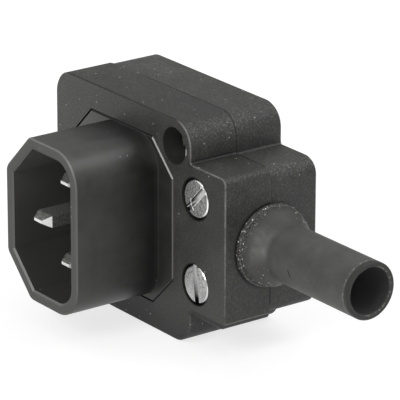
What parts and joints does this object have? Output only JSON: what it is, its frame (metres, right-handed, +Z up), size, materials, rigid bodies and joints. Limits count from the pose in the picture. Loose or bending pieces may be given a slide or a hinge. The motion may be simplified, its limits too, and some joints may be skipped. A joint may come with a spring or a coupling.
{
  "type": "earthed power plug",
  "caption": "Right-angled earthed appliance plug: black two-part housing, shrouded flat pins, slotted clamp screws and a rubber bend sleeve for a cord its user wires.",
  "frame": {"origin": "on the plug's axis, in the plane of the housing's front face, which meets the socket", "axes": "-Y the way the plug goes into its socket, +X the way the cord leaves, +Z up as the plug stands on its side wall"},
  "size_m": [0.0728, 0.0349, 0.038],
  "materials": {
    "housing": "fine spark texture, black",
    "insert": "smooth satin, black",
    "sleeve": "matt soft moulding, dark grey",
    "clamp": "plain moulding, dark grey",
    "contacts": "nickel plated",
    "screws": "zinc plated",
    "leaf": "spring steel, bright"
  },
  "bodies": {
    "root": {"front_shell": "housing", "rear_cover": "housing", "contact_insert": "insert", "line_pin": "contacts", "neutral_pin": "contacts", "earth_pin": "contacts", "line_wire_guard": "leaf", "neutral_wire_guard": "leaf", "earth_wire_guard": "leaf", "terminal_screws": "screws", "housing_screws": "screws", "clamp_screws": "screws", "clamp_nuts": "screws", "cable_clamp": "clamp", "bend_sleeve": "sleeve"}
  },
  "joints": []
}
